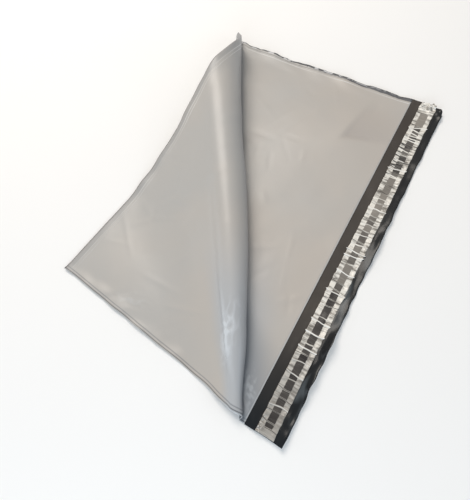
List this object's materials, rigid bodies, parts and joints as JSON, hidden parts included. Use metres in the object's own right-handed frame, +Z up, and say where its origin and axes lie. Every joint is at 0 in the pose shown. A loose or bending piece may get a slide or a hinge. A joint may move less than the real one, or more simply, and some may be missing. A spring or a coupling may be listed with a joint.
{
  "type": "poly mailer bag",
  "caption": "Flat grey polythene mailing bag with a self-seal flap and peel-off liner, lying loose with a soft diagonal fold.",
  "frame": {"origin": "centre of the footprint, on the surface that the bag lies on", "axes": "+X from the bottom fold towards the mouth and flap, +Y along the mouth towards the far side seam, +Z up out of the flat bag"},
  "size_m": [0.301, 0.4362, 0.0564],
  "materials": {
    "film": "satin grey film outside, glossy black inside",
    "adhesive": "clear tacky line over black film",
    "liner": "wrinkled translucent silvery film"
  },
  "bodies": {
    "root": {"bag_body": "film", "adhesive_strip": "adhesive", "release_liner": "liner"}
  },
  "joints": []
}
